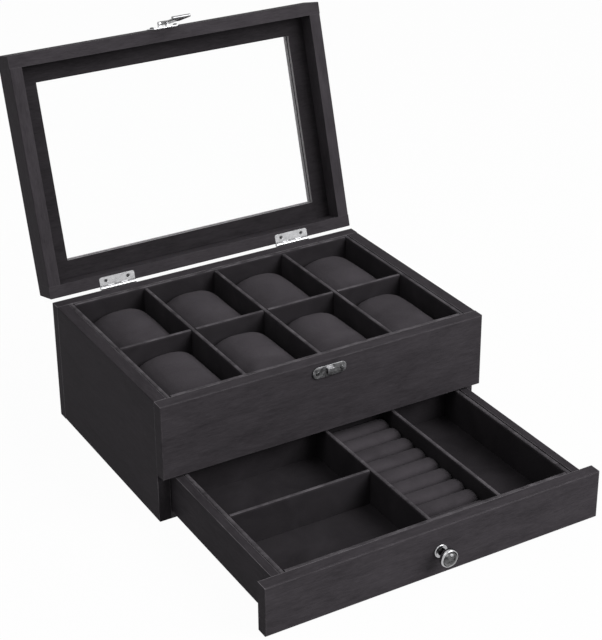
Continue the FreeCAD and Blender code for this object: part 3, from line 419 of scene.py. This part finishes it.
# the bmesh as a mesh with outward normals, smooth but for edges above 40 degrees
def meshFrom(work, name, smooth=True):
    bmesh.ops.recalc_face_normals(work, faces=work.faces)
    mesh = bpy.data.meshes.new(name)
    work.to_mesh(mesh)
    work.free()
    mesh.polygons.foreach_set("use_smooth", [smooth] * len(mesh.polygons))
    mesh.set_sharp_from_angle(angle=math.radians(40))
    return mesh


# a turned screw head with a straight slot cut across it
def slottedHead(name, profile, slotWidth, slotDepth, top, slotLength=10):
    head = bpy.data.objects.new(name, meshFrom(lathe(bmesh.new(), [(r * mm, z * mm) for r, z in profile]), name))
    scene.collection.objects.link(head)
    cutter = bmesh.new()
    slot = Matrix.Diagonal((slotLength * mm, slotWidth * mm, 2 * slotDepth * mm, 1))
    bmesh.ops.create_cube(cutter, size=1.0, matrix=Matrix.Translation((0, 0, top * mm)) @ slot)
    knife = bpy.data.objects.new(name + "Knife", meshFrom(cutter, name + "Knife", smooth=False))
    scene.collection.objects.link(knife)
    sliced = head.modifiers.new("slot", "BOOLEAN")
    sliced.operation = "DIFFERENCE"
    sliced.solver = "EXACT"
    sliced.object = knife
    mesh = evaluated(head)
    bpy.data.objects.remove(head)
    bpy.data.objects.remove(knife)
    shape = bpy.data.objects.new(name, mesh)
    scene.collection.objects.link(shape)
    return shape


# sockets that both node trees below have besides their own
shapeInput = ("Geometry", "NodeSocketGeometry", None)
finishInput = ("Finish", "NodeSocketMaterial", None)
geometryOutput = [("Geometry", "NodeSocketGeometry")]


# the end of both node trees: the instances made real and given the finish
def finishInstances(tree, start, end, placed):
    real = addNode(tree, "GeometryNodeRealizeInstances")
    finish = addNode(tree, "GeometryNodeSetMaterial")
    tree.links.new(placed.outputs["Instances"], real.inputs["Geometry"])
    tree.links.new(real.outputs["Geometry"], finish.inputs["Geometry"])
    tree.links.new(start.outputs["Finish"], finish.inputs["Material"])
    tree.links.new(finish.outputs["Geometry"], end.inputs["Geometry"])


# sets the named object on every point, each turned about its own axis by a fixed seed
def makeScatterTree():
    inputs = [shapeInput, ("Shape", "NodeSocketObject", None), ("Lean", "NodeSocketRotation", None),
              ("Turn", "NodeSocketFloat", None), ("Seed", "NodeSocketInt", None), finishInput]
    tree, start, end = newGroup("setOnPoints", inputs, geometryOutput, "GeometryNodeTree")
    source = addNode(tree, "GeometryNodeObjectInfo", transform_space="ORIGINAL")
    chance = addNode(tree, "FunctionNodeRandomValue", data_type="FLOAT")
    spin = addNode(tree, "FunctionNodeAxisAngleToRotation")
    spin.inputs["Axis"].default_value = (0, 0, 1)
    both = addNode(tree, "FunctionNodeRotateRotation", rotation_space="LOCAL")
    placed = addNode(tree, "GeometryNodeInstanceOnPoints")
    link = tree.links.new
    link(start.outputs["Shape"], source.inputs["Object"])
    link(start.outputs["Turn"], chance.inputs[3])
    link(start.outputs["Seed"], chance.inputs["Seed"])
    link(chance.outputs[1], spin.inputs["Angle"])
    link(start.outputs["Lean"], both.inputs["Rotation"])
    link(spin.outputs["Rotation"], both.inputs["Rotate By"])
    link(start.outputs["Geometry"], placed.inputs["Points"])
    link(source.outputs["Geometry"], placed.inputs["Instance"])
    link(both.outputs["Rotation"], placed.inputs["Rotation"])
    finishInstances(tree, start, end, placed)
    return tree


# the identifier of a node tree's input, by its name
def socketOf(tree, label):
    return next(item.identifier for item in tree.interface.items_tree
                if item.item_type == "SOCKET" and item.in_out == "INPUT" and item.name == label)


# the mesh that a node tree makes of this one, with its inputs by name
def grown(name, mesh, tree, inputs):
    carrier = bpy.data.objects.new(name, mesh)
    scene.collection.objects.link(carrier)
    modifier = carrier.modifiers.new("tree", "NODES")
    modifier.node_group = tree
    for label, value in inputs.items():
        modifier[socketOf(tree, label)] = value
    result = evaluated(carrier)
    result.name = name
    bpy.data.objects.remove(carrier)
    return result


# screws: two turned heads with a slot, set on points by a node tree; mm, but "mostTurn" in radians
screws = {
    "hingeMiddle": 81.5, "spacing": 19.5, "lidInset": 5.6, "lidFace": 0.25, "caseDrop": 4.9, "caseFace": -0.95,
    "plateSpacing": 21.0, "plateThick": 1.2, "catchHeight": 93.4, "front": -97.5,
    "latchAlong": -196.2, "latchRise": 12.5, "seed": 2, "mostTurn": 3.1,
}
sunkProfile = [(0, -7.8), (0.5, -7.8), (0.85, -6.9), (0.85, -0.95), (1.42, -0.38), (1.36, -0.3), (0.9, -0.24),
               (0, -0.2)]
domedProfile = [(0, -7.8), (0.5, -7.8), (0.9, -6.9), (0.9, 0), (1.72, 0), (1.78, 0.15), (1.6, 0.5), (1.2, 0.78),
                (0.7, 0.93), (0, 0.98)]
sunkHead = slottedHead("sunkHead", sunkProfile, slotWidth=0.42, slotDepth=0.4, top=-0.2)
domedHead = slottedHead("domedHead", domedProfile, slotWidth=0.45, slotDepth=0.5, top=0.98)
outward = Matrix.Rotation(math.radians(90), 3, "X")
rearward = Matrix.Rotation(math.radians(-90), 3, "X")
downward = Matrix.Rotation(math.radians(180), 3, "X")
lidSpin = lidTurn.to_3x3()
sides = (-1, 1)
hingeXs = [(side * screws["hingeMiddle"] + end * screws["spacing"] / 2) * mm for side in sides for end in sides]
plateXs = [side * screws["plateSpacing"] / 2 * mm for side in sides]
caseRow = [Vector((x, hingePin.y + screws["caseFace"] * mm, hingePin.z - screws["caseDrop"] * mm)) for x in hingeXs]
lidRow = [lidTurn @ Vector((x, -screws["lidInset"] * mm, screws["lidFace"] * mm)) for x in hingeXs]
catchRow = [Vector((x, (screws["front"] - screws["plateThick"]) * mm, screws["catchHeight"] * mm)) for x in plateXs]
latchRow = [lidTurn @ Vector((x, (screws["latchAlong"] - screws["plateThick"]) * mm, screws["latchRise"] * mm))
            for x in plateXs]
screwSets = [
    ("hingeCaseScrews", caseRow, sunkHead, rearward, screwSteel, "case", "hinge_metal", "hinge_case_screws"),
    ("hingeLidScrews", lidRow, sunkHead, lidSpin @ downward, screwSteel, "lid", "hinge_metal", "hinge_lid_screws"),
    ("catchScrews", catchRow, domedHead, outward, screwSteel, "case", "bright_metal", "catch_screws"),
    ("latchScrews", latchRow, domedHead, lidSpin @ outward, screwSteel, "lid", "bright_metal", "latch_screws"),
]
scatterTree = makeScatterTree()
for number, (name, points, shape, lean, material, body, slotName, replaced) in enumerate(screwSets):
    places = bpy.data.meshes.new(name + "Places")
    places.from_pydata(points, [], [])
    mesh = grown(name, places, scatterTree, {"Shape": shape, "Lean": lean.to_euler(), "Turn": screws["mostTurn"],
                                             "Seed": screws["seed"] + number, "Finish": material})
    addPiece(name, mesh, None, body, [replaced])
for shape in (sunkHead, domedHead):
    bpy.data.objects.remove(shape)
print("screws set")

# the knob's head in its rim, over a rosette: profiles of (radius, distance from the drawer's front), in mm
knob = {"front": -247.5, "height": 20.25, "steps": 64}
knobProfile = [(0, 1.6), (2.9, 1.6), (3.1, 1.9), (2.75, 3.0), (2.6, 4.6), (3.0, 6.2), (4.4, 7.2), (5.8, 7.8),
               (6.4, 8.5), (6.5, 9.6), (6.4, 10.9), (5.9, 11.6), (5.5, 12.1), (5.4, 12.6), (5.1, 13.2), (4.4, 13.9),
               (3.3, 14.6), (2.0, 15.2), (0.9, 15.45), (0, 15.5)]
rimProfile = [(5.9, 8.2), (6.6, 8.35), (6.95, 9.1), (7.0, 10.1), (6.95, 11.0), (6.7, 11.8), (6.3, 12.2),
              (5.95, 12.25), (5.7, 11.9), (5.6, 11.0), (5.6, 9.0)]
rosetteProfile = [(1.75, 0.02), (5.4, 0.02), (5.4, 0.6), (5.28, 1.05), (4.9, 1.4), (4.5, 1.48), (4.1, 1.2),
                  (3.7, 1.25), (3.2, 1.5), (1.75, 1.5)]
knobFoot = Vector((0, knob["front"], knob["height"])) * mm
knobPlace = Matrix.Translation(knobFoot) @ Matrix.Rotation(math.radians(90), 4, "X")


# a profile turned about the knob's axis; one that keeps off the axis is joined to its own start
def turned(name, profile):
    outline = profile if profile[0][0] == 0 else profile + profile[:1]
    work = lathe(bmesh.new(), [(r * mm, z * mm) for r, z in outline], steps=knob["steps"])
    bmesh.ops.remove_doubles(work, verts=work.verts, dist=1e-7)
    mesh = meshFrom(work, name)
    mesh.transform(knobPlace)
    return mesh


addPiece("knobHead", turned("knobHead", knobProfile), smokedChrome, "drawer", ["knob"])
addPiece("knobRim", turned("knobRim", rimProfile), chrome, "drawer", ["knob"])
addPiece("knobRosette", turned("knobRosette", rosetteProfile), chrome, "drawer", ["knob_rosette"])
paint(nodes["knob_screw"], nickel)
print("knob turned")


# points round a soft section: a drawn-in foot, upright sides and a crown; a power under 1 squares that shoulder
def softSection(half, side, crown, shoulders, points, foot=0.3):
    outline = []
    for step in range(points):
        angle = 2 * math.pi * step / points
        across, up = math.cos(angle), math.sin(angle)
        power = shoulders[0] if across < 0 else shoulders[1]
        bend = power if up > 0 else foot
        x = half * math.copysign(abs(across) ** bend, across)
        z = side + (crown - side) * up ** power if up > 0 else side - side * abs(up) ** foot
        outline.append((x, z))
    return outline


# stations (share of the length, breadth, height) from one end to the middle, and back to the other end
def bothEnds(stations):
    return stations + [(1 - place, broad, tall) for place, broad, tall in reversed(stations[:-1])]


# closed skin over rings of points, with a vertex at the middle of each end
def loft(sections, name):
    work = bmesh.new()
    rings = [[work.verts.new(point) for point in ring] for ring in sections]
    count = len(rings[0])
    for near, far in zip(rings, rings[1:]):
        for step in range(count):
            after = (step + 1) % count
            work.faces.new((near[step], near[after], far[after], far[step]))
    for ring in (rings[0], rings[-1]):
        middle = work.verts.new(sum((vert.co for vert in ring), Vector()) / count)
        for step in range(count):
            work.faces.new((ring[step], ring[(step + 1) % count], middle))
    return meshFrom(work, name)


fabric = {"quality": 5, "mass": 0.2, "tension_stiffness": 12, "bending_stiffness": 0.4}


# cloth blown up from inside for a few steps, with no point moved further than the limit
def inflated(mesh, voxel, pressure, limit, frames=20):
    puffed = bpy.data.objects.new("puffed", mesh)
    scene.collection.objects.link(puffed)
    remesh = puffed.modifiers.new("remesh", "REMESH")
    remesh.mode = "VOXEL"
    remesh.voxel_size = voxel * mm
    puffed.data = evaluated(puffed)
    puffed.modifiers.clear()
    start = [vert.co.copy() for vert in puffed.data.vertices]
    settings = puffed.modifiers.new("cloth", "CLOTH").settings
    settings.use_pressure = True
    settings.uniform_pressure_force = pressure
    settings.effector_weights.gravity = 0
    for label, value in fabric.items():
        setattr(settings, label, value)
    for step in range(1, frames + 1):
        scene.frame_set(step)
    puffed.data = evaluated(puffed)
    puffed.modifiers.clear()
    scene.frame_set(1)
    for vert, origin in zip(puffed.data.vertices, start):
        moved = vert.co - origin
        if moved.length > limit * mm:
            vert.co = origin + moved.normalized() * limit * mm
    finer = puffed.modifiers.new("finer", "SUBSURF")
    finer.levels = finer.render_levels = 1
    result = evaluated(puffed)
    bpy.data.objects.remove(puffed)
    result.polygons.foreach_set("use_smooth", [True] * len(result.polygons))
    return result


# mm; "ends" are stations, "most" is the highest that the stuffed pillow may reach; the scales are noise waves a metre
pillow = {
    "width": 55.6, "length": 79.0, "height": 44.2, "side": 0.53, "shoulders": (1.08, 0.6), "points": 44,
    "ends": [(0.0, 0.88, 0.85), (0.02, 0.94, 0.92), (0.06, 0.98, 0.965), (0.15, 1.0, 0.99), (0.3, 1.0, 1.0),
             (0.5, 1.0, 1.0)],
    "columns": (-96, -32, 32, 96), "rows": (-42.75, 42.75), "floor": 48.4, "most": 94.0,
    "voxel": 2.8, "pressure": 3.0, "limit": 1.0, "fill": 0.7,
    "gather": 0.4, "gatherStart": 0.55, "gatherScale": 260, "drape": 0.5, "drapeScale": (45, 30),
    "lean": 0.8, "leanScale": 12,
}


# a watch pillow along Y: flat sides, full ends, and a crown that falls away to the left
def pillowStart():
    sections = []
    for place, broad, tall in bothEnds(pillow["ends"]):
        high = pillow["height"] * tall
        ring = softSection(pillow["width"] / 2 * broad, high * pillow["side"], high, pillow["shoulders"],
                           pillow["points"])
        sections.append([(x * mm, (place - 0.5) * pillow["length"] * mm, z * mm) for x, z in ring])
    return loft(sections, "pillowStart")


# one pillow's own gathers, drape and lean, the same each time for its number
def settle(mesh, number, place):
    normals = [vert.normal.copy() for vert in mesh.vertices]
    gatherScale, leanScale = pillow["gatherScale"], pillow["leanScale"]
    drapeAcross, drapeAlong = pillow["drapeScale"]
    points = []
    for vert, normal in zip(mesh.vertices, normals):
        x, y, z = vert.co
        end = abs(y) / (pillow["length"] * mm / 2)
        gather = (pillow["gather"] * mm * max(0.0, end - pillow["gatherStart"])
                  * noise.noise(Vector((x * gatherScale, z * gatherScale, number * 9.3))))
        drape = pillow["drape"] * mm * noise.noise(Vector((x * drapeAcross, y * drapeAlong, number * 4.7)))
        lean = pillow["lean"] * mm * noise.noise(Vector((y * leanScale, 3.3, number * 5.7)))
        lean = lean * z / (pillow["height"] * mm)
        moved = vert.co + normal * (gather + drape) + Vector((lean, 0, 0)) + place
        moved.z = min(max(moved.z, place.z), pillow["most"] * mm)
        points.extend(moved)
    mesh.vertices.foreach_set("co", points)


pillowMesh = inflated(pillowStart(), pillow["voxel"], pillow["pressure"], pillow["limit"])
print("pillow form made")
pillowPlaces = [(column, row) for row in pillow["rows"] for column in pillow["columns"]]
for number, (column, row) in enumerate(pillowPlaces, 1):
    mesh = pillowMesh.copy()
    settle(mesh, number, Vector((column, row, pillow["floor"])) * mm)
    piece = addPiece("watchPillow%d" % number, mesh, suede, "pillow_%d" % number,
                     ["watch_pillow_%d" % number])
bpy.data.meshes.remove(pillowMesh)
print("pillows made")

# mm; "thick" is a share of the pitch, "reach" of the length and height, "swell" of the height; "sway" is in radians
rolls = {
    "count": 9, "left": 2.4, "right": 57.7, "near": -233.3, "far": -81.5, "floor": 9.95, "crown": 20.5, "side": 12.4,
    "thick": 0.86, "reach": 0.985, "shoulders": (0.66, 0.66), "points": 36,
    "ends": [(0.0, 0.82, 0.80), (0.015, 0.91, 0.90), (0.045, 0.97, 0.97), (0.1, 1.0, 1.0), (0.5, 1.0, 1.0)],
    "voxel": 1.6, "pressure": 2.0, "limit": 0.5, "fill": 0.8, "sway": 0.006, "swell": 0.03, "seed": 7,
}
rollPitch = (rolls["far"] - rolls["near"]) / rolls["count"]
rollLength = rolls["right"] - rolls["left"]


# copies of a soft roll in a row, each a little lower or turned by a fixed seed
def makeRowTree():
    inputs = [shapeInput, ("Count", "NodeSocketInt", None), ("Pitch", "NodeSocketFloat", None),
              ("Sway", "NodeSocketFloat", None), ("Swell", "NodeSocketFloat", None), ("Seed", "NodeSocketInt", None),
              finishInput]
    tree, start, end = newGroup("rollRow", inputs, geometryOutput, "GeometryNodeTree")
    step = addNode(tree, "ShaderNodeCombineXYZ")
    row = addNode(tree, "GeometryNodeMeshLine", mode="OFFSET")
    placed = addNode(tree, "GeometryNodeInstanceOnPoints")
    swayLow = addNode(tree, "ShaderNodeMath", operation="MULTIPLY")
    swayLow.inputs[1].default_value = -1.0
    sway = addNode(tree, "FunctionNodeRandomValue", data_type="FLOAT")
    turn = addNode(tree, "FunctionNodeAxisAngleToRotation")
    turn.inputs["Axis"].default_value = (0, 0, 1)
    swellLow = addNode(tree, "ShaderNodeMath", operation="SUBTRACT")
    swellLow.inputs[0].default_value = 1.0
    swell = addNode(tree, "FunctionNodeRandomValue", data_type="FLOAT")
    swell.inputs[3].default_value = 1.0
    tall = addNode(tree, "ShaderNodeCombineXYZ")
    tall.inputs["X"].default_value = 1.0
    tall.inputs["Y"].default_value = 1.0
    link = tree.links.new
    link(start.outputs["Pitch"], step.inputs["Y"])
    link(start.outputs["Count"], row.inputs["Count"])
    link(step.outputs["Vector"], row.inputs["Offset"])
    link(start.outputs["Sway"], swayLow.inputs[0])
    link(swayLow.outputs[0], sway.inputs[2])
    link(start.outputs["Sway"], sway.inputs[3])
    link(start.outputs["Seed"], sway.inputs["Seed"])
    link(sway.outputs[1], turn.inputs["Angle"])
    link(start.outputs["Swell"], swellLow.inputs[1])
    link(swellLow.outputs[0], swell.inputs[2])
    link(start.outputs["Seed"], swell.inputs["Seed"])
    link(swell.outputs[1], tall.inputs["Z"])
    link(row.outputs["Mesh"], placed.inputs["Points"])
    link(start.outputs["Geometry"], placed.inputs["Instance"])
    link(turn.outputs["Rotation"], placed.inputs["Rotation"])
    link(tall.outputs["Vector"], placed.inputs["Scale"])
    finishInstances(tree, start, end, placed)
    return tree


# one ring roll lying along X, with rounded ends
def rollStart():
    sections = []
    for place, broad, tall in bothEnds(rolls["ends"]):
        ring = softSection(rollPitch / 2 * broad * rolls["thick"], rolls["side"] * tall,
                           rolls["crown"] * tall * rolls["reach"], rolls["shoulders"], rolls["points"])
        sections.append([((place - 0.5) * rollLength * rolls["reach"] * mm, -y * mm, z * mm) for y, z in ring])
    return loft(sections, "rollStart")


rollMesh = inflated(rollStart(), rolls["voxel"], rolls["pressure"], rolls["limit"])
rowMesh = grown("rollRow", rollMesh, makeRowTree(), {
    "Count": rolls["count"], "Pitch": rollPitch * mm, "Sway": rolls["sway"], "Swell": rolls["swell"],
    "Seed": rolls["seed"], "Finish": rollVelvet,
})
firstRoll = Vector(((rolls["left"] + rolls["right"]) / 2, rolls["near"] + rollPitch / 2, rolls["floor"])) * mm
rowMesh.transform(Matrix.Translation(firstRoll))
rollPiece = addPiece("ringRolls", rowMesh, None, "drawer", ["ring_rolls"])
print("ring rolls made")


# 1 for rays from the camera, a reflection or the glass: these see plain white
def seenRays(tree):
    path = addNode(tree, "ShaderNodeLightPath")
    result = path.outputs["Is Camera Ray"]
    for label in ("Is Glossy Ray", "Is Transmission Ray"):
        either = addNode(tree, "ShaderNodeMath", operation="MAXIMUM")
        tree.links.new(result, either.inputs[0])
        tree.links.new(path.outputs[label], either.inputs[1])
        result = either.outputs[0]
    return result


# lengths in m, powers in W; "floorWhite" is the floor's share of white for seen rays, the rest takes the shadow
studio = {
    "worldStrength": 0.32, "floorHalf": 6, "floorTone": 0.62, "floorWhite": 0.972, "aim": (0, -0.05, 0.1),
    "lamps": {
        "keyLight": {"place": (1.1, -1.45, 1.45), "size": (1.5, 1.5), "power": 55},
        "fillLight": {"place": (-1.0, -0.4, 1.6), "size": (0.8, 1.2), "power": 4.5},
    },
}


# a pale floor that keeps the object's shadow
def addFloor():
    mesh = bpy.data.meshes.new("floor")
    half = studio["floorHalf"]
    mesh.from_pydata([(-half, -half, 0), (half, -half, 0), (half, half, 0), (-half, half, 0)], [], [(0, 1, 2, 3)])
    floor = bpy.data.objects.new("floor", mesh)
    scene.collection.objects.link(floor)
    material = bpy.data.materials.new("floorWhite")
    material.use_nodes = True
    tree = material.node_tree
    tree.nodes.clear()
    diffuse = addNode(tree, "ShaderNodeBsdfDiffuse", in_Color=(*[studio["floorTone"]] * 3, 1))
    white = addNode(tree, "ShaderNodeEmission", in_Strength=1.0)
    share = addNode(tree, "ShaderNodeMath", operation="MULTIPLY")
    share.inputs[1].default_value = studio["floorWhite"]
    mix = addNode(tree, "ShaderNodeMixShader")
    output = addNode(tree, "ShaderNodeOutputMaterial")
    link = tree.links.new
    link(seenRays(tree), share.inputs[0])
    link(share.outputs[0], mix.inputs["Fac"])
    link(diffuse.outputs[0], mix.inputs[1])
    link(white.outputs[0], mix.inputs[2])
    link(mix.outputs[0], output.inputs["Surface"])
    paint(floor, material)


# soft light from all round, and white where it is seen
def setWorld():
    world = bpy.data.worlds.new("studio")
    scene.world = world
    world.use_nodes = True
    tree = world.node_tree
    tree.nodes.clear()
    soft = addNode(tree, "ShaderNodeBackground", in_Strength=studio["worldStrength"])
    white = addNode(tree, "ShaderNodeBackground", in_Strength=1.0)
    for background in (soft, white):
        background.inputs["Color"].default_value = (1, 1, 1, 1)
    mix = addNode(tree, "ShaderNodeMixShader")
    output = addNode(tree, "ShaderNodeOutputWorld")
    link = tree.links.new
    link(seenRays(tree), mix.inputs["Fac"])
    link(soft.outputs[0], mix.inputs[1])
    link(white.outputs[0], mix.inputs[2])
    link(mix.outputs[0], output.inputs["Surface"])


# a rectangular lamp turned towards the object
def addSoftbox(name, place, size, power):
    lamp = bpy.data.lights.new(name, "AREA")
    lamp.shape = "RECTANGLE"
    lamp.size, lamp.size_y = size
    lamp.energy = power
    obj = bpy.data.objects.new(name, lamp)
    scene.collection.objects.link(obj)
    obj.location = place
    obj.rotation_euler = (Vector(studio["aim"]) - Vector(place)).to_track_quat("-Z", "Y").to_euler()


addFloor()
setWorld()
for name, settings in studio["lamps"].items():
    addSoftbox(name, **settings)

camera = {
    "azimuth": -30.08, "elevation": 25.81, "roll": -0.46, "distance": 1306.08,   # degrees, mm
    "target": (11.09, -37.5, 140.01), "focal": 1706.61,   # mm, px
    "imageSize": (602, 640), "axisRise": 40.0, "sensorWidth": 36.0, "clip": (0.01, 50),   # px, mm, m
}


# the photo's camera, from its turn about the target and its focal length in pixels
def addCamera():
    azimuth, elevation, roll = (math.radians(camera[key]) for key in ("azimuth", "elevation", "roll"))
    back = Vector((math.sin(azimuth) * math.cos(elevation), -math.cos(azimuth) * math.cos(elevation),
                   math.sin(elevation)))
    right = (-back).cross(Vector((0, 0, 1))).normalized()
    up = right.cross(-back)
    turnedRight = math.cos(roll) * right + math.sin(roll) * up
    turnedUp = -math.sin(roll) * right + math.cos(roll) * up
    data = bpy.data.cameras.new("camera")
    data.sensor_width = camera["sensorWidth"]
    longSide = max(camera["imageSize"])
    data.lens = camera["focal"] / longSide * data.sensor_width
    data.shift_y = -camera["axisRise"] / longSide
    data.clip_start, data.clip_end = camera["clip"]
    obj = bpy.data.objects.new("camera", data)
    scene.collection.objects.link(obj)
    place = (Vector(camera["target"]) + back * camera["distance"]) * mm
    turn = Matrix((turnedRight, turnedUp, back)).transposed().to_4x4()
    obj.matrix_world = Matrix.Translation(place) @ turn
    scene.camera = obj


addCamera()
scene.view_settings.view_transform = "Standard"
print("floor, light and camera set")
